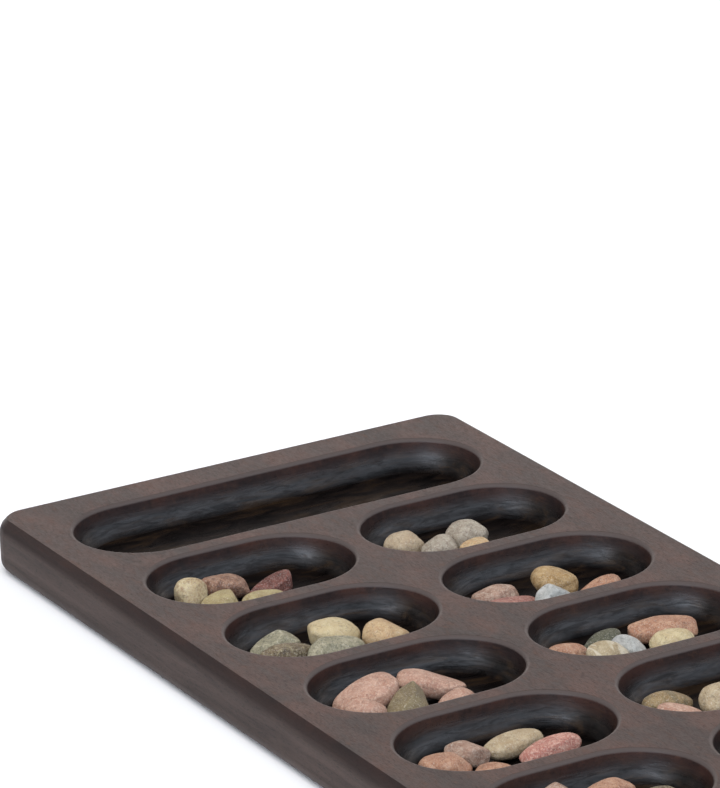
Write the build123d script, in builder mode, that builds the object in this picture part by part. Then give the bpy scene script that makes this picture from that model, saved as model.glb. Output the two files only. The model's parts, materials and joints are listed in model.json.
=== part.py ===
"""A mancala board: one hardwood plank with twelve pits and two stores, and its loose river pebbles.

Millimetres. +X runs along the plank, +Y across it and +Z up. The origin is on the underside, at the
middle of the plank.
"""
from build123d import *
from math import cos, hypot, radians, sin
import os

os.makedirs("parts", exist_ok=True)

# ---- the plank
board_length = 462.0
board_width = 178.0
board_thickness = 19.0
corner_radius = 11.0
bottom_edge_radius = 4.8
side_round_radius = 6.35  # the long round between the side and the top face
side_round_end = 58.0  # degrees: the round stops short of the top face and leaves a crisp edge

# ---- the pits and stores, all with the same wall
pits_per_row = 6
pit_pitch = 54.34
row_offset = 39.7  # from the plank's middle line to a row's middle line
store_offset = 190.2  # from the plank's middle to a store's middle
hollow_width = 49.5  # along the plank, over the rounded rims
pit_length = 73.9  # across the plank, over the rounded rims
store_length = 151.7
hollow_depth = 10.5
rim_radius = 1.5
wall_draft = 5.0  # degrees off vertical, just under the rim
foot_slope = 50.0  # degrees off vertical, where the curved wall meets the flat floor

# ---- the pebbles
floor_height = board_thickness - hollow_depth
rest_gap = 0.3  # between a pebble and the floor under it

# The pits of each row are numbered from the -X end. A pebble is x and y from its pit's middle, then
# its length, width and height, then how many degrees its +Y end is turned towards +X and how many
# degrees that end is raised.
pebbles = {
    "left_1": [
        (-1.0, -22.0, 10.5, 10.5, 11.0, -1, -6),
        (-2.5, -8.5, 16.5, 10.5, 8.0, 20, -11),
        (8.0, -15.5, 12.5, 9.5, 7.5, -2, 2),
        (14.5, -3.0, 16.0, 8.5, 7.5, 4, -4),
        (5.0, 4.5, 19.5, 8.5, 8.0, -14, 8),
    ],
    "left_2": [
        (-3.0, -19.0, 17.5, 10.0, 8.5, -9, 7),
        (6.5, -19.5, 20.0, 8.0, 8.5, 0, -10),
        (1.5, -1.0, 17.5, 14.5, 10.0, 12, -12),
        (15.0, -7.5, 20.5, 10.0, 11.0, 2, 3),
        (12.5, 12.5, 14.5, 14.5, 10.5, 11, -13),
    ],
    "left_3": [
        (-2.0, -17.0, 23.0, 14.5, 9.5, -2, 14),
        (10.0, -24.0, 13.0, 10.5, 10.5, 15, -15),
        (11.5, -9.5, 18.5, 11.5, 10.5, -28, 14),
        (-1.0, 5.5, 21.5, 11.0, 7.5, 25, -14),
        (13.5, 6.0, 13.5, 8.5, 6.5, -16, 12),
    ],
    "left_4": [
        (4.5, -24.0, 16.5, 10.5, 9.0, 4, -7),
        (-2.0, -13.0, 14.0, 9.0, 8.5, 37, -8),
        (12.0, -11.0, 12.5, 9.0, 6.0, 3, -9),
        (-2.0, 3.5, 19.0, 10.0, 7.0, 4, 5),
        (10.5, 9.0, 20.5, 9.0, 8.5, 3, 8),
    ],
    "left_5": [
        (-10.0, -8.5, 10.0, 10.5, 10.5, 13, -1),
        (-4.0, 4.5, 18.5, 10.5, 10.0, 3, 1),
        (6.0, -17.0, 16.5, 10.5, 8.0, -8, 0),
        (5.5, -1.0, 15.0, 9.0, 7.5, 20, 0),
        (7.0, 16.0, 14.5, 10.0, 9.0, -15, 0),
    ],
    "left_6": [
        (-3.5, -13.0, 19.0, 12.0, 9.0, 15, 0),
        (10.0, -5.5, 15.5, 10.0, 7.5, -20, 0),
        (-2.0, 6.5, 15.0, 11.5, 10.0, -5, 0),
        (10.0, 14.0, 17.0, 10.5, 8.5, 10, 0),
    ],
    "right_1": [
        (0.0, -22.5, 13.5, 11.0, 9.5, 0, 2),
        (10.0, -14.5, 12.5, 10.5, 9.5, 1, 3),
        (5.5, -1.5, 14.5, 12.5, 10.5, 4, -3),
        (16.0, -4.5, 10.5, 8.0, 8.0, 0, 5),
    ],
    "right_2": [
        (-0.5, -19.0, 16.5, 9.5, 7.5, 1, 1),
        (9.0, -18.5, 19.0, 7.5, 6.0, 2, -6),
        (3.5, 0.5, 15.0, 13.0, 10.0, 10, -12),
        (16.0, -6.5, 13.5, 9.5, 10.0, 5, -14),
        (14.0, 11.0, 19.0, 8.5, 7.0, -10, 8),
    ],
    "right_3": [
        (0.5, -25.5, 14.0, 9.0, 7.0, 4, -6),
        (12.0, -17.5, 14.0, 9.5, 9.5, 19, -13),
        (-3.0, -10.5, 15.5, 8.0, 6.0, -15, 6),
        (8.5, -7.5, 13.5, 7.5, 7.5, 68, -8),
        (1.0, 9.5, 22.0, 10.5, 8.0, 29, -2),
        (13.0, 5.5, 15.0, 10.0, 9.0, 13, -1),
    ],
    "right_4": [
        (-1.0, -21.5, 16.5, 10.5, 8.0, 1, -6),
        (9.5, -22.5, 16.0, 8.5, 6.5, 31, -17),
        (6.5, -7.0, 13.0, 11.0, 9.5, 0, 0),
        (-2.0, 6.0, 16.0, 9.5, 7.5, 0, 0),
        (9.0, 10.5, 18.0, 11.0, 9.0, -15, 0),
    ],
    "right_5": [
        (-6.0, -14.0, 16.0, 11.0, 9.5, -10, 0),
        (6.0, -16.5, 17.0, 10.0, 8.0, 5, 0),
        (2.5, 1.0, 14.5, 12.0, 10.5, 0, 0),
        (11.0, 12.0, 16.0, 9.5, 8.0, -15, 0),
    ],
    "right_6": [
        (2.0, -19.5, 15.0, 12.0, 10.0, 0, 0),
        (-6.5, -6.0, 17.5, 10.0, 8.0, 15, 0),
        (8.0, -4.5, 16.0, 10.5, 8.5, -10, 0),
        (2.0, 12.0, 18.5, 11.0, 9.5, 20, 0),
    ],
}


def hollow_outline(radius):
    """Half the section of a hollow, as a closed outline: x from its middle and y as the height.

    It runs out along the floor, up the curved wall, over the rounded rim and back above the plank.
    """
    rim_angle = radians(wall_draft)
    foot_angle = radians(foot_slope)
    rim_centre = Vector(radius, board_thickness - rim_radius)
    rim_top = rim_centre + Vector(0, rim_radius)
    rim_middle = rim_centre + Vector(-cos(radians(45)), sin(radians(45))) * rim_radius
    wall_top = rim_centre + Vector(-cos(rim_angle), sin(rim_angle)) * rim_radius
    wall_radius = (wall_top.Y - floor_height) / (sin(foot_angle) - sin(rim_angle))
    wall_centre = wall_top - Vector(cos(rim_angle), -sin(rim_angle)) * wall_radius
    middle_angle = (rim_angle + foot_angle) / 2
    wall_middle = wall_centre + Vector(cos(middle_angle), -sin(middle_angle)) * wall_radius
    wall_foot = wall_centre + Vector(cos(foot_angle), -sin(foot_angle)) * wall_radius
    above = board_thickness + rim_radius
    Line((0, floor_height), wall_foot)
    ThreePointArc(wall_foot, wall_middle, wall_top)
    ThreePointArc(wall_top, rim_middle, rim_top)
    Polyline(rim_top, (radius, above), (0, above), (0, floor_height))


def hollow(length):
    """The space of a hollow with round ends, as a solid that the plank is cut with."""
    radius = hollow_width / 2
    straight = length - hollow_width
    with BuildPart() as space:
        with BuildSketch(Plane.XZ.offset(-straight / 2)):
            with BuildLine():
                hollow_outline(radius)
            make_face()
            mirror(about=Plane.YZ)
        extrude(amount=straight)
        for side in (-1, 1):
            end = (0, side * straight / 2, 0)
            with BuildSketch(Plane(origin=end, x_dir=(side, 0, 0), z_dir=(0, -side, 0))):
                with BuildLine():
                    hollow_outline(radius)
                make_face()
            revolve(axis=Axis(end, (0, 0, 1)), revolution_arc=180)
    return space.part


def pit_x(number):
    """The middle of a pit along the plank, from its number in the row, counted from 1."""
    return (number - (pits_per_row + 1) / 2) * pit_pitch


# ---- the board: rounded all round, then planed to a crisp top edge, then hollowed out
pit_space = hollow(pit_length)
store_space = hollow(store_length)
planed_off = side_round_radius * (1 - sin(radians(side_round_end)))

with BuildPart() as board:
    with BuildSketch():
        RectangleRounded(board_length, board_width, corner_radius)
    extrude(amount=board_thickness + planed_off)
    fillet(board.edges().group_by(Axis.Z)[-1], side_round_radius)
    fillet(board.edges().group_by(Axis.Z)[0], bottom_edge_radius)
    split(bisect_by=Plane.XY.offset(board_thickness), keep=Keep.BOTTOM)
    with GridLocations(pit_pitch, 2 * row_offset, pits_per_row, 2):
        add(pit_space, mode=Mode.SUBTRACT)
    with GridLocations(2 * store_offset, 0, 2, 1):
        add(store_space, mode=Mode.SUBTRACT)
board.part.label = "board"
export_step(board.part, "parts/board.step")

# ---- the pebbles, each a separate stone
for pit, stones in pebbles.items():
    row, number = pit.split("_")
    row_y = -row_offset if row == "left" else row_offset
    for letter, (x, y, length, width, height, turn, rise) in zip("abcdef", stones):
        rounded = scale(Sphere(0.5), by=(width, length, height))
        half_height = hypot(length * sin(radians(rise)), height * cos(radians(rise))) / 2
        middle = (pit_x(int(number)) + x, row_y + y, floor_height + rest_gap + half_height)
        with BuildPart() as pebble:
            add(Pos(*middle) * Rot(0, 0, -turn) * Rot(rise, 0, 0) * rounded)
        pebble.part.label = f"pebble_{pit}{letter}"
        export_step(pebble.part, f"parts/{pebble.part.label}.step")
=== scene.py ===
"""Looks for the mancala board: oiled dark hardwood, tumbled river pebbles, a pale studio floor.

Metres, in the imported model's own frame: +X along the board, +Y across it, +Z up.
"""
import json
import math
import random

import bmesh
import bpy
import numpy as np
from mathutils import Matrix, Vector, noise

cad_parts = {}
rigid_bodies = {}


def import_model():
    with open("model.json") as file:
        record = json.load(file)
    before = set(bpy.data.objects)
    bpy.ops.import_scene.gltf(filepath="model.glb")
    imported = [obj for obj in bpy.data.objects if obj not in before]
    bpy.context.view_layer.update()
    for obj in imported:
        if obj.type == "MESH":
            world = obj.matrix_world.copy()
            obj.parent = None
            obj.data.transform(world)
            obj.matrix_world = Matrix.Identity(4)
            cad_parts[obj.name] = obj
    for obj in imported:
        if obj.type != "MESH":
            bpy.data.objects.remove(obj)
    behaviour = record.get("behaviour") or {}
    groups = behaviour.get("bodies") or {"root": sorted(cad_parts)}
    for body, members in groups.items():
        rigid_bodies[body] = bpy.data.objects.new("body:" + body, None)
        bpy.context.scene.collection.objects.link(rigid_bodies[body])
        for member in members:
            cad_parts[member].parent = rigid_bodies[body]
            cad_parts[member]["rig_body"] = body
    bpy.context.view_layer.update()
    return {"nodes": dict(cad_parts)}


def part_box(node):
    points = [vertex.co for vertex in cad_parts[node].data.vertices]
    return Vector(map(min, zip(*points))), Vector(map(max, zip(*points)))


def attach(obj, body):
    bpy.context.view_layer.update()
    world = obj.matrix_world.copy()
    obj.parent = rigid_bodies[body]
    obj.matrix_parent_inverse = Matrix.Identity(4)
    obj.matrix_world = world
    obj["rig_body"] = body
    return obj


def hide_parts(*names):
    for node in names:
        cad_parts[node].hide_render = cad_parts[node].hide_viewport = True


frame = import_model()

MM = 0.001
# The surround's light by direction. A fade is by the share of the direction along an axis: where it
# starts and ends, then the strength at each.
BACK_UPWARD = (0.18, 0.82, 1.12, 0.08)     # behind the board, going up
BACK_SIDEWAYS = (-0.35, 0.35, 0.40, 1.0)   # behind the board, from -Y to +Y
FRONT_LOW = (0.12, 0.50, 0.42, 1.70)       # on the camera's side, going up: its bright middle band starts
FRONT_HIGH = (0.66, 0.92, 1.0, 0.05)       # and ends
FRONT_SIDEWAYS = (-0.85, -0.45, 2.7, 1.0)  # on the camera's side, from -Y
BACK_TO_FRONT = (-0.30, 0.35, 0.0, 1.0)
BACK_TINT = (1.0, 0.91, 0.87)
FRONT_TINT = (0.80, 0.87, 1.0)
SUN_STRENGTH = 2.5
SUN_SPREAD = 50.0                          # degrees
SUN_FROM = (0.25, -0.25, 1.0)
BOARD_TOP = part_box("board")[1].z
HOLLOW_FLOOR = 8.5 * MM
HOLLOWS_REACH_X = 220 * MM                 # every hollow is nearer the middle than this
HOLLOWS_REACH_Y = 83 * MM
REACH_FADE = 2 * MM
RIM_DEPTH = 0.8 * MM                       # how far down a hollow's edge looks like its rim


# ---------------------------------------------------------------- shader helpers
class Shader:
    """A material being built: it makes nodes and links them by socket name."""

    def __init__(self, name):
        self.material = bpy.data.materials.new(name)
        self.material.use_nodes = True
        self.tree = self.material.node_tree
        self.tree.nodes.clear()
        self.surface = self.tree.nodes.new("ShaderNodeBsdfPrincipled")
        output = self.tree.nodes.new("ShaderNodeOutputMaterial")
        self.tree.links.new(self.surface.outputs["BSDF"], output.inputs["Surface"])

    def node(self, kind, inputs=None, **settings):
        made = self.tree.nodes.new("ShaderNode" + kind)
        for key, value in settings.items():
            setattr(made, key, value)
        for key, value in (inputs or {}).items():
            self.put(made.inputs[key], value)
        return made

    def put(self, socket, value):
        """Sets a socket to a value, or links it to another node's socket."""
        if isinstance(value, bpy.types.NodeSocket):
            self.tree.links.new(value, socket)
        else:
            socket.default_value = value

    def points(self, scale, offset=(0, 0, 0)):
        """Object coordinates, scaled on each axis: features per metre."""
        where = self.node("TexCoord").outputs["Object"]
        return self.node("Mapping", {"Vector": where, "Scale": scale, "Location": offset}).outputs["Vector"]

    def noise(self, vector, scale=1.0, detail=4.0, rough=0.5, distortion=0.0):
        made = self.node("TexNoise", {"Vector": vector, "Scale": scale, "Detail": detail,
                                      "Roughness": rough, "Distortion": distortion})
        return made.outputs["Fac"]

    def ramp(self, value, stops):
        """A colour ramp. stops is a list of (position, colour), a colour being 3 numbers or a grey."""
        made = self.node("ValToRGB", {"Fac": value})
        made.color_ramp.elements.remove(made.color_ramp.elements[1])
        for index, (position, colour) in enumerate(stops):
            element = made.color_ramp.elements[0] if index == 0 else made.color_ramp.elements.new(position)
            element.position = position
            rgb = (colour,) * 3 if isinstance(colour, (int, float)) else colour
            element.color = (*rgb, 1.0)
        return made.outputs["Color"]

    def mix(self, factor, a, b, mode="MIX"):
        made = self.node("Mix", data_type="RGBA", blend_type=mode)
        for socket, value in ((made.inputs[0], factor), (made.inputs[6], a), (made.inputs[7], b)):
            self.put(socket, (*value, 1.0) if isinstance(value, tuple) else value)
        return made.outputs[2]

    def math(self, operation, a, b=0.0, clamp=False):
        made = self.node("Math", {0: a, 1: b}, operation=operation, use_clamp=clamp)
        return made.outputs[0]

    def bump(self, height, strength, distance, normal=None):
        inputs = {"Height": height, "Strength": strength, "Distance": distance}
        if normal is not None:
            inputs["Normal"] = normal
        return self.node("Bump", inputs).outputs["Normal"]

    def finish(self, **inputs):
        for key, value in inputs.items():
            name = key.replace("_", " ")
            self.put(self.surface.inputs[name], (*value, 1.0) if isinstance(value, tuple) else value)
        return self.material


# ---------------------------------------------------------------- materials
def dark_wood():
    """Oiled dark hardwood with its grain along X: warmer outside, glossier in the hollows and darkened there
    with painted shade, with a painted highlight on their rims.
    """
    m = Shader("dark_hardwood")
    zones = wood_zones(m)
    pores = m.noise(m.points((520, 2300, 2300)), 1.0, 3.0, 0.75)
    flecks = m.noise(m.points((170, 520, 520), (1, 4, 2)), 1.0, 4.0, 0.65, 0.3)
    lines = m.noise(m.points((16, 240, 240), (6, 2, 9)), 1.0, 5.0, 0.7, 0.5)
    return m.finish(Base_Color=wood_colour(m, zones, pores, flecks, lines),
                    Roughness=wood_roughness(m, zones, pores, flecks, lines),
                    Specular_IOR_Level=wood_polish(m, zones),
                    Normal=wood_relief(m, zones, pores, flecks))


def wood_zones(m):
    """How much each point is in each zone of the board, 0 to 1.

    hollows is the hollows' walls and floors, floors is the part near their floors, and rims is their
    rounded edges. sides is the plank's outer faces, and turns is where those round over.
    """
    place = m.node("SeparateXYZ", {"Vector": m.node("TexCoord").outputs["Object"]})
    facing = m.node("SeparateXYZ", {"Vector": m.node("TexCoord").outputs["Normal"]})

    def below(value, limit, width):
        return m.math("DIVIDE", m.math("SUBTRACT", limit, value), width, clamp=True)

    along = below(m.math("ABSOLUTE", place.outputs["X"]), HOLLOWS_REACH_X, REACH_FADE)
    across = below(m.math("ABSOLUTE", place.outputs["Y"]), HOLLOWS_REACH_Y, REACH_FADE)
    within = m.math("MULTIPLY", across, along)
    outside = m.math("SUBTRACT", 1.0, within)
    deep = below(place.outputs["Z"], BOARD_TOP - RIM_DEPTH, 5.5 * MM)
    low = below(place.outputs["Z"], HOLLOW_FLOOR + 1.6 * MM, 1.4 * MM)
    upright = below(facing.outputs["Z"], 0.75, 0.3)
    rounded = m.math("SUBTRACT", below(facing.outputs["Z"], 0.998, 0.03),
                     below(place.outputs["Z"], BOARD_TOP - RIM_DEPTH, 0.5 * MM), clamp=True)
    turning = m.math("SUBTRACT", below(facing.outputs["Z"], 0.97, 0.1),
                     below(facing.outputs["Z"], 0.45, 0.4), clamp=True)
    return {"hollows": m.math("MULTIPLY", deep, within), "floors": m.math("MULTIPLY", low, within),
            "rims": m.math("MULTIPLY", rounded, within), "sides": m.math("MULTIPLY", upright, outside),
            "turns": m.math("MULTIPLY", turning, outside)}


def wood_colour(m, zones, pores, flecks, lines):
    """Figured wood with flecks and pores, plainer on the sides, painted shade where the sides round over and
    in the hollows, which it makes nearly black, and a painted highlight on the hollows' rims.
    """
    figure = m.noise(m.points((9, 60, 60)), 1.0, 5.0, 0.6, 0.7)
    blotch = m.noise(m.points((45, 70, 70), (3, 1, 2)), 1.0, 3.0, 0.6)
    swirl = m.noise(m.points((150, 45, 330), (6, 2, 9)), 1.0, 5.0, 0.65, 0.9)
    wood = m.ramp(figure, [(0.32, (0.016, 0.009, 0.0085)), (0.52, (0.031, 0.016, 0.014)),
                           (0.72, (0.052, 0.025, 0.018))])
    wood = m.mix(m.ramp(flecks, [(0.55, 0.0), (0.70, 0.55)]), wood, (0.085, 0.038, 0.022))
    wood = m.mix(m.ramp(flecks, [(0.34, 0.6), (0.46, 0.0)]), wood, (0.009, 0.006, 0.006))
    wood = m.mix(m.ramp(blotch, [(0.46, 0.0), (0.66, 0.68)]), wood, (0.066, 0.026, 0.018))
    side_wood = m.ramp(lines, [(0.34, (0.026, 0.016, 0.013)), (0.50, (0.038, 0.022, 0.017)),
                               (0.66, (0.050, 0.028, 0.021))])
    wood = m.mix(zones["sides"], wood, side_wood)
    wood = m.mix(m.ramp(pores, [(0.55, 0.0), (0.66, 0.8)]), wood, (0.006, 0.004, 0.004))
    # Painted shade: the edges where the sides round over are darkened.
    wood = m.mix(m.math("MULTIPLY", zones["turns"], 0.65), wood, (0.011, 0.007, 0.007))
    # Painted shade: the hollows' walls and floors are darkened nearly to black, with a swirl of grain in it.
    hollow_shade = m.ramp(swirl, [(0.38, (0.0015, 0.0012, 0.0012)), (0.52, (0.0060, 0.0042, 0.0036)),
                           (0.66, (0.0170, 0.0100, 0.0055))])
    wood = m.mix(zones["hollows"], wood, hollow_shade)
    # Painted highlight: the hollows' rounded rims are made pale.
    return m.mix(zones["rims"], wood, (0.078, 0.062, 0.057))


def wood_roughness(m, zones, pores, flecks, lines):
    """Uneven gloss: by the pores outside, by the grain lines on the sides, brushed in the hollows."""
    brushed = m.noise(m.points((120, 50, 420), (2, 8, 3)), 1.0, 5.0, 0.65, 1.0)
    outside = m.ramp(m.math("ADD", m.math("MULTIPLY", pores, 0.6), m.math("MULTIPLY", flecks, 0.4)),
                     [(0.38, 0.29), (0.62, 0.47)])
    inside = m.ramp(brushed, [(0.38, 0.20), (0.64, 0.48)])
    on_sides = m.ramp(lines, [(0.36, 0.56), (0.66, 0.46)])
    return m.mix(zones["sides"], m.mix(zones["hollows"], outside, inside), on_sides)


def wood_polish(m, zones):
    """Full polish on top, less on the sides, floors and rims, and faded in bands along the hollows."""
    lost = m.math("ADD", m.math("MULTIPLY", zones["floors"], 0.36), m.math("MULTIPLY", zones["sides"], 0.28))
    lost = m.math("ADD", lost, m.math("MULTIPLY", zones["rims"], 0.38))
    bands = m.noise(m.points((70, 110, 620), (2, 7, 1)), 1.0, 5.0, 0.68, 0.9)
    faded = m.math("MULTIPLY", m.ramp(bands, [(0.38, 0.48), (0.56, 0.0)]), zones["hollows"])
    return m.math("MULTIPLY", m.math("SUBTRACT", 0.5, lost), m.math("SUBTRACT", 1.0, faded))


def wood_relief(m, zones, pores, flecks):
    """Open pores outside, and fine cutter marks that break the hollows' sheen into streaks."""
    streak = m.noise(m.points((150, 110, 1300), (5, 5, 0)), 1.0, 4.0, 0.65, 0.3)
    outer = m.math("SUBTRACT", 1.0, m.math("MULTIPLY", zones["hollows"], 0.8))
    grain = m.math("MULTIPLY", m.math("ADD", pores, m.math("MULTIPLY", flecks, 0.6)), outer)
    marks = m.math("MULTIPLY", streak, zones["hollows"])
    return m.bump(marks, 0.20, 0.0004, m.bump(grain, 0.30, 0.00014))


def srgb(red, green, blue):
    """A colour as seen on screen, 0 to 255, as the linear numbers that the shader takes."""
    return tuple((((v / 255) + 0.055) / 1.055) ** 2.4 if v > 10 else v / 3294.6 for v in (red, green, blue))


# Each stone: its two mottled tones, its grains and how much they show, then how strongly it is pitted.
STONES = {
    "cream": ((202, 186, 146), (190, 170, 130), (168, 146, 106), 0.25, 0.25),
    "sand": ((200, 184, 146), (184, 164, 126), (142, 108, 78), 0.50, 0.45),
    "tan": ((184, 166, 138), (170, 150, 122), (148, 122, 96), 0.35, 0.40),
    "flax": ((178, 158, 126), (162, 140, 108), (196, 184, 156), 0.40, 0.35),
    "amber": ((198, 172, 132), (184, 154, 114), (160, 116, 80), 0.35, 0.30),
    "gold": ((176, 146, 100), (150, 118, 72), (196, 170, 130), 0.50, 0.55),
    "straw": ((172, 158, 114), (158, 142, 102), (146, 120, 84), 0.35, 0.35),
    "rust": ((166, 130, 106), (138, 100, 80), (92, 62, 50), 0.70, 0.80),
    "plum": ((130, 82, 72), (102, 62, 54), (76, 48, 44), 0.55, 0.70),
    "brick": ((158, 106, 94), (138, 90, 80), (186, 144, 128), 0.45, 0.35),
    "rose": ((182, 144, 124), (168, 126, 106), (204, 170, 148), 0.65, 0.45),
    "coral": ((188, 132, 116), (164, 106, 92), (212, 172, 154), 0.60, 0.45),
    "peach": ((186, 146, 118), (168, 124, 98), (144, 98, 74), 0.60, 0.45),
    "mauve": ((170, 138, 118), (144, 112, 94), (198, 178, 160), 0.45, 0.40),
    "chalk": ((188, 187, 182), (166, 167, 163), (146, 147, 140), 0.45, 0.45),
    "ash": ((176, 166, 148), (158, 147, 130), (126, 108, 92), 0.60, 0.50),
    "lichen": ((180, 172, 146), (146, 140, 114), (104, 102, 82), 0.70, 0.60),
    "moss": ((110, 93, 70), (88, 74, 55), (180, 168, 134), 0.40, 0.55),
    "olive": ((132, 117, 86), (116, 102, 77), (152, 140, 108), 0.35, 0.30),
    "slate": ((88, 88, 70), (68, 70, 55), (114, 112, 90), 0.45, 0.35),
    "striped": ((172, 156, 124), (154, 136, 104), (188, 172, 142), 0.40, 0.40),
    "banded": ((148, 126, 90), (130, 107, 73), (164, 144, 108), 0.35, 0.35),
}
STONE_BRIGHTNESS = 0.93
DUST = (226, 218, 208)
STRIPES = {"striped": (206, 196, 174), "banded": (118, 104, 76)}


def pebble_stone(name):
    """A matt river stone: two mottled tones, grains of a third, cracks, pale dust, and bands on some."""
    first, second, grains, amount, pitting = STONES[name]
    m = Shader("stone_" + name)
    cloud = m.noise(m.points((230, 230, 230)), 1.0, 5.0, 0.6, 0.3)
    patch = m.noise(m.points((430, 430, 430), (7, 3, 5)), 1.0, 4.0, 0.65)
    grain = m.noise(m.points((1150, 1150, 1150)), 1.0, 3.0, 0.7)
    dust = m.noise(m.points((2400, 2400, 2400)), 1.0, 2.0, 0.6)
    vein = m.noise(m.points((260, 260, 330), (4, 9, 1)), 1.0, 4.0, 0.6, 0.6)
    crack = m.math("ABSOLUTE", m.math("SUBTRACT", vein, 0.5))
    colour = m.mix(m.ramp(cloud, [(0.38, 0.0), (0.58, 1.0)]), stone_tone(first), stone_tone(second))
    if name in STRIPES:
        wave = m.noise(m.points((90, 330, 120)), 1.0, 2.0, 0.5, 0.8)
        colour = m.mix(m.ramp(wave, [(0.48, 0.0), (0.54, 0.85)]), colour, stone_tone(STRIPES[name]))
    colour = m.mix(m.ramp(patch, [(0.52, 0.0), (0.64, 0.9 * amount)]), colour, stone_tone(grains))
    colour = m.mix(m.ramp(grain, [(0.52, 0.0), (0.60, amount)]), colour, stone_tone(grains))
    colour = m.mix(m.ramp(crack, [(0.000, 0.55), (0.012, 0.0)]), colour, stone_tone(second, 0.42))
    colour = m.mix(m.ramp(dust, [(0.54, 0.0), (0.70, 0.36)]), colour, stone_tone(DUST))
    rough = m.ramp(patch, [(0.3, 0.55), (0.7, 0.75)])
    coarse = m.bump(patch, pitting, 0.0010)
    cracked = m.bump(m.ramp(crack, [(0.0, 0.0), (0.02, 1.0)]), 0.35, 0.0003, coarse)
    return m.finish(Base_Color=colour, Roughness=rough, Normal=m.bump(grain, pitting, 0.0003, cracked))


def stone_tone(colour, share=1.0):
    return srgb(*[STONE_BRIGHTNESS * share * v for v in colour])


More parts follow.
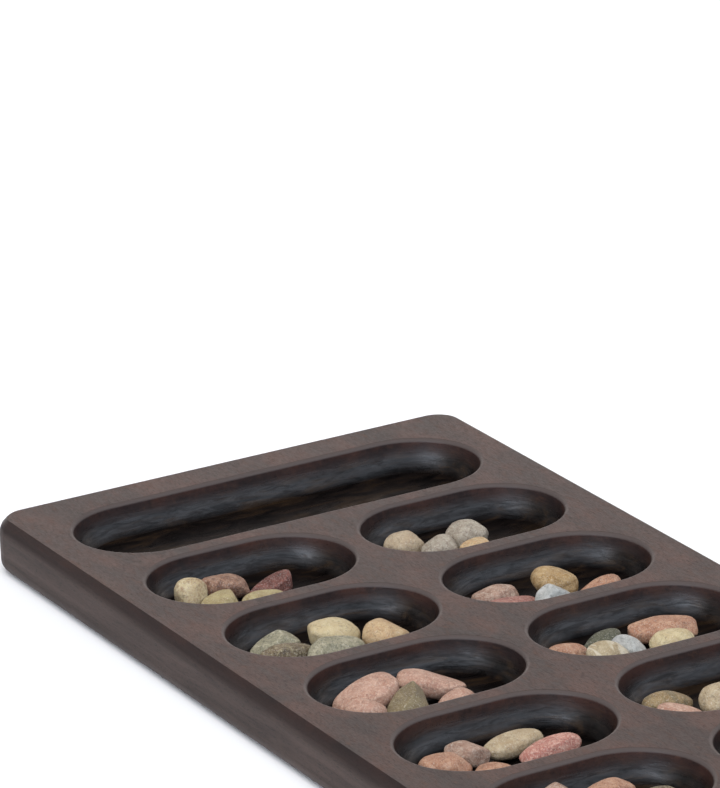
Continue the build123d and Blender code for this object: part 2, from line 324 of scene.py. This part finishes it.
# ---------------------------------------------------------------- pebbles
# Each pebble: its stone, then the worn faces that set it off from a plain oval, each as the
# direction it faces in the model's frame and its distance from the middle as a share of the oval's.
UP, FRONT = (0, 0, 1), (1, 0, 0)
PEBBLES = {
    "left_1a": ("sand", [((1, -0.6, 0.4), 0.92)]),
    "left_1b": ("rust", [(UP, 0.90), ((1, 0, -0.4), 0.90), ((0.27, -0.95, 0.18), 1.06)]),
    "left_1c": ("straw", [((0, -0.50, 0.87), 0.66), ((0.2, 1, 0.3), 0.80), (UP, 0.84)]),
    "left_1d": ("straw", [(UP, 0.84)]),
    "left_1e": ("plum", [((0.1, -0.50, 0.86), 0.44), ((0, -0.5, -0.9), 0.66), ((0, 1, 0.1), 0.76),
                         (FRONT, 0.74)]),
    "left_2a": ("lichen", [((0, -0.50, 0.87), 0.56), ((0, 0.76, 0.65), 0.70), ((0.9, -0.3, 0.4), 0.66)]),
    "left_2b": ("moss", [(UP, 0.82), ((0, -0.6, 0.8), 0.85)]),
    "left_2c": ("cream", [(UP, 0.95)]),
    "left_2d": ("lichen", [((0, -0.84, 0.54), 0.80), ((0.9, 0, 0.5), 0.74), ((0.1, 0.38, 0.92), 0.62)]),
    "left_2e": ("amber", [((0, 0.60, 0.80), 0.80), ((1, 0.5, 0), 0.86)]),
    "left_3a": ("rose", [((0, -0.66, 0.75), 0.88), ((0, 1, 0.2), 0.88), ((0.88, -0.47, 0.04), 1.02)]),
    "left_3b": ("rose", [((0, 0.5, 0.86), 0.84)]),
    "left_3c": ("olive", [((0, -0.66, 0.75), 0.46), ((0.2, 0.88, 0.47), 0.58), ((0.9, -0.2, 0.4), 0.58),
                          ((-0.17, -0.96, -0.22), 1.04)]),
    "left_3d": ("rose", [(UP, 0.86), ((0.8, 0.5, -0.4), 0.86), ((0, 0.62, 0.78), 0.78)]),
    "left_3e": ("rose", [((0, -0.4, 0.9), 0.82)]),
    "left_4a": ("peach", [(UP, 0.88), ((0, 0.9, 0.4), 0.90)]),
    "left_4b": ("mauve", [((0, -0.86, 0.5), 0.64), (UP, 0.78), ((0, 0.6, 0.8), 0.82), ((1, 0.3, 0), 0.78)]),
    "left_4c": ("peach", [(UP, 0.86)]),
    "left_4d": ("flax", [((0, -0.5, 0.86), 0.90)]),
    "left_4e": ("coral", [((0, -0.1, 0.99), 0.80), ((0.9, 0.3, 0.3), 0.88)]),
    "left_5a": ("mauve", [((0, 0.6, 0.8), 0.82)]),
    "left_5b": ("peach", [(UP, 0.88), ((0, -0.7, 0.7), 0.86)]),
    "left_5c": ("peach", []),
    "left_5d": ("cream", []),
    "left_5e": ("moss", [(UP, 0.88)]),
    "left_6a": ("tan", []),
    "left_6b": ("ash", [(UP, 0.90)]),
    "left_6c": ("rose", [((0, -0.5, 0.86), 0.86)]),
    "left_6d": ("olive", []),
    "right_1a": ("tan", [(UP, 0.92), ((0, -0.7, 0.7), 0.92), ((0, 0.85, 0.5), 0.92)]),
    "right_1b": ("ash", [((0, -0.7, 0.7), 0.88), ((0.3, 0.8, 0.5), 0.88)]),
    "right_1c": ("ash", [((0, -0.72, 0.69), 0.88), ((0, 0.8, 0.6), 0.92), ((1, -0.2, 0.2), 0.90),
                         ((0.41, -0.91, 0.05), 1.05)]),
    "right_1d": ("amber", [((0, 1, 0.1), 0.86), (UP, 0.94)]),
    "right_2a": ("mauve", [((0, -0.5, 0.86), 0.88), ((0, 1, 0.1), 0.90)]),
    "right_2b": ("brick", [(UP, 0.88)]),
    "right_2c": ("gold", [((0, 0.50, 0.86), 0.90), ((1, 0.2, 0.1), 0.92)]),
    "right_2d": ("chalk", [((0, -0.7, 0.7), 0.76), ((0, 0.6, 0.8), 0.72), ((1, -0.2, 0.3), 0.76)]),
    "right_2e": ("peach", [((0, -0.4, 0.92), 0.86), ((0, 1, 0.2), 0.88)]),
    "right_3a": ("peach", [(UP, 0.88)]),
    "right_3b": ("striped", [((0, -0.5, 0.86), 0.88)]),
    "right_3c": ("slate", [((0, -0.5, 0.86), 0.86)]),
    "right_3d": ("chalk", [((0.7, 0.5, 0.5), 0.74), ((0, -0.7, 0.7), 0.78)]),
    "right_3e": ("peach", [(UP, 0.88), ((0.9, 0, -0.4), 0.90)]),
    "right_3f": ("cream", [(UP, 0.92)]),
    "right_4a": ("banded", [((0, 0.7, 0.7), 0.88)]),
    "right_4b": ("rose", [(UP, 0.86)]),
    "right_4c": ("flax", [((0, -0.9, 0.4), 0.92)]),
    "right_4d": ("brick", [((0, -0.6, 0.8), 0.88)]),
    "right_4e": ("cream", []),
    "right_5a": ("sand", []),
    "right_5b": ("coral", [(UP, 0.88)]),
    "right_5c": ("chalk", []),
    "right_5d": ("gold", [((0, 0.5, 0.86), 0.86)]),
    "right_6a": ("amber", []),
    "right_6b": ("brick", [(UP, 0.90)]),
    "right_6c": ("striped", []),
    "right_6d": ("slate", [((0, -0.5, 0.86), 0.88)]),
}
FACE_CRISPNESS = 16      # how tightly a worn face meets the round of the stone
STRAY_FACES = 6          # faint random faces on every stone
SQUARENESS = 2.25        # 2 is an oval, and more is boxier
FULLNESS = 1.01          # a stone's size as a share of its oval's
FULLNESS_FOR_WEAR = 0.12  # what the deepest worn face adds to that, by how deep it is
SWELLS = (0.040, 1.4)    # broad and small unevenness: its height as a share of the stone, and how fine
DIMPLES = (0.014, 4.0)
BOXY = {"left_1b": 3.6, "left_1c": 2.8, "left_2c": 2.5, "left_2e": 2.4, "left_3a": 2.5, "left_3d": 2.6,
        "left_4a": 2.7, "left_4b": 2.9, "left_4d": 2.4, "left_5b": 2.6, "right_1a": 2.5, "right_1c": 2.4,
        "right_1d": 3.4, "right_2a": 2.5, "right_2b": 2.7, "right_2c": 2.5, "right_3e": 3.4, "right_4c": 2.5}


def oval_of(node):
    """A CAD pebble's oval: its middle, its half sizes, and the axes along them, nearest X, Y and Z."""
    points = np.array([v.co for v in node.data.vertices], float)
    middle = (points.min(0) + points.max(0)) / 2
    x, y, z = ((points - middle) / MM).T
    terms = np.stack([x * x, y * y, z * z, 2 * x * y, 2 * x * z, 2 * y * z], 1)
    xx, yy, zz, xy, xz, yz = np.linalg.lstsq(terms, np.ones(len(terms)), rcond=None)[0]
    shares, axes = np.linalg.eigh(np.array([[xx, xy, xz], [xy, yy, yz], [xz, yz, zz]]))
    upright = int(np.argmax(np.abs(axes[2])))
    level = sorted({0, 1, 2} - {upright}, key=lambda i: -abs(axes[0, i]))
    order = [*level, upright]
    axes = axes[:, order]
    axes = axes * np.where(np.diag(axes) < 0, -1.0, 1.0)
    return middle, MM / np.sqrt(shares[order]), axes


def ball():
    """A fine even ball, as its vertices and faces."""
    mesh = bmesh.new()
    bmesh.ops.create_icosphere(mesh, subdivisions=5, radius=1.0)
    mesh.verts.ensure_lookup_table()
    points = np.array([v.co for v in mesh.verts], float)
    faces = [tuple(v.index for v in face.verts) for face in mesh.faces]
    mesh.free()
    return points / np.linalg.norm(points, axis=1)[:, None], faces


def waves(points, height, scale, offset):
    """A smooth random unevenness over the points, up to about height either way."""
    return height * np.array([noise.noise(Vector(p * scale) + offset) for p in points])


def build_pebble(name, faces_of_ball, points, materials):
    """A worn stone in place of the CAD pebble: its oval made boxier, flattened in places and uneven."""
    stone, worn = PEBBLES[name]
    chance = random.Random(name)
    node = frame["nodes"]["pebble_" + name]
    middle, sizes, axes = oval_of(node)
    power = BOXY.get(name, SQUARENESS)
    reach = (np.abs(points) ** power).sum(1) ** (-1 / power)
    cuts = [(axes.T @ np.array(direction, float), distance) for direction, distance in worn]
    for _ in range(STRAY_FACES):
        cuts.append((np.array([chance.gauss(0, 1) for _ in range(3)]), chance.uniform(0.89, 0.99)))
    total = np.ones(len(points))
    for direction, distance in cuts:
        toward = direction / np.linalg.norm(direction)
        total += (np.maximum(points @ toward * reach, 0) / distance) ** FACE_CRISPNESS
    reach = reach * total ** (-1 / FACE_CRISPNESS)
    offset = Vector([chance.uniform(-50, 50) for _ in range(3)])
    deepest = min([distance for _, distance in worn], default=1.0)
    fullness = FULLNESS + FULLNESS_FOR_WEAR * (1 - deepest)
    reach = reach * (fullness + waves(points, *SWELLS, offset) + waves(points, *DIMPLES, offset))
    shape = middle + (points * reach[:, None] * sizes) @ axes.T
    shape[:, 2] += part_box(node.name)[0].z - shape[:, 2].min()
    mesh = bpy.data.meshes.new("stone_" + name)
    mesh.from_pydata([tuple(p) for p in shape], [], faces_of_ball)
    mesh.polygons.foreach_set("use_smooth", [True] * len(mesh.polygons))
    mesh.materials.append(materials[stone])
    pebble = bpy.data.objects.new("stone_" + name, mesh)
    bpy.context.scene.collection.objects.link(pebble)
    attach(pebble, node["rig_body"])
    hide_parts(node.name)


# ---------------------------------------------------------------- stage, light and camera
def build_stage():
    m = Shader("pale_floor")
    tone = m.noise(m.points((3, 3, 3)), 1.0, 3.0)
    m.finish(Base_Color=m.ramp(tone, [(0.3, 0.89), (0.7, 0.92)]), Roughness=0.7)
    bpy.ops.mesh.primitive_plane_add(size=14.0, location=(0, 0, 0))
    floor = bpy.context.object
    floor.name = "studio_floor"
    floor.data.materials.append(m.material)


def build_light():
    """A surround that is warm and bright low down behind, with a cool band halfway up in front.

    A broad soft sun lights the floor and the pebbles. It isn't seen in the wood's gloss.
    """
    world = bpy.data.worlds.new("studio")
    bpy.context.scene.world = world
    world.use_nodes = True
    tree = world.node_tree
    background = tree.nodes["Background"]
    where = tree.nodes.new("ShaderNodeTexCoord").outputs["Generated"]
    part = tree.nodes.new("ShaderNodeSeparateXYZ")
    tree.links.new(where, part.inputs["Vector"])

    def fade(axis, low, high, start, end):
        made = tree.nodes.new("ShaderNodeMapRange")
        made.interpolation_type = "SMOOTHSTEP"
        tree.links.new(part.outputs[axis], made.inputs["Value"])
        for key, number in (("From Min", low), ("From Max", high), ("To Min", start), ("To Max", end)):
            made.inputs[key].default_value = number
        return made.outputs["Result"]

    def product(a, b):
        made = tree.nodes.new("ShaderNodeMath")
        made.operation = "MULTIPLY"
        tree.links.new(a, made.inputs[0])
        tree.links.new(b, made.inputs[1])
        return made.outputs[0]

    def blend(kind, back, front):
        made = tree.nodes.new("ShaderNodeMix")
        made.data_type = kind
        first, second, result = (6, 7, 2) if kind == "RGBA" else (2, 3, 0)
        tree.links.new(front_share, made.inputs[0])
        for index, value in ((first, back), (second, front)):
            if isinstance(value, tuple):
                made.inputs[index].default_value = (*value, 1.0)
            else:
                tree.links.new(value, made.inputs[index])
        return made.outputs[result]

    front_share = fade("X", *BACK_TO_FRONT)
    behind = product(fade("Z", *BACK_UPWARD), fade("Y", *BACK_SIDEWAYS))
    before = product(product(fade("Z", *FRONT_LOW), fade("Z", *FRONT_HIGH)), fade("Y", *FRONT_SIDEWAYS))
    tree.links.new(blend("FLOAT", behind, before), background.inputs["Strength"])
    tree.links.new(blend("RGBA", BACK_TINT, FRONT_TINT), background.inputs["Color"])
    lamp = bpy.data.lights.new("soft_sun", "SUN")
    lamp.energy = SUN_STRENGTH
    lamp.angle = math.radians(SUN_SPREAD)
    sun = bpy.data.objects.new("soft_sun", lamp)
    sun.rotation_euler = (-Vector(SUN_FROM)).to_track_quat("-Z", "Y").to_euler()
    sun.visible_glossy = False
    bpy.context.scene.collection.objects.link(sun)


def build_camera():
    aim = Vector((-0.26082, 0.07051, BOARD_TOP))
    toward_camera = Vector((0.82876, -0.44613, 0.33783))
    distance = 2.0866
    roll = math.radians(-2.578)
    camera = bpy.data.objects.new("camera", bpy.data.cameras.new("camera"))
    camera.data.lens = 271.95
    camera.data.sensor_width = 36.0
    camera.data.clip_end = 50.0
    turn = (-toward_camera).to_track_quat("-Z", "Y").to_matrix() @ Matrix.Rotation(roll, 3, "Z")
    camera.matrix_world = Matrix.Translation(aim + toward_camera * distance) @ turn.to_4x4()
    bpy.context.scene.collection.objects.link(camera)
    bpy.context.scene.camera = camera


build_stage()
build_light()
build_camera()
bpy.context.scene.view_settings.view_transform = "Standard"

wood = dark_wood()
for slot in frame["nodes"]["board"].material_slots:
    slot.material = wood
stones = {name: pebble_stone(name) for name in STONES}
ball_points, ball_faces = ball()
for name in PEBBLES:
    build_pebble(name, ball_faces, ball_points, stones)
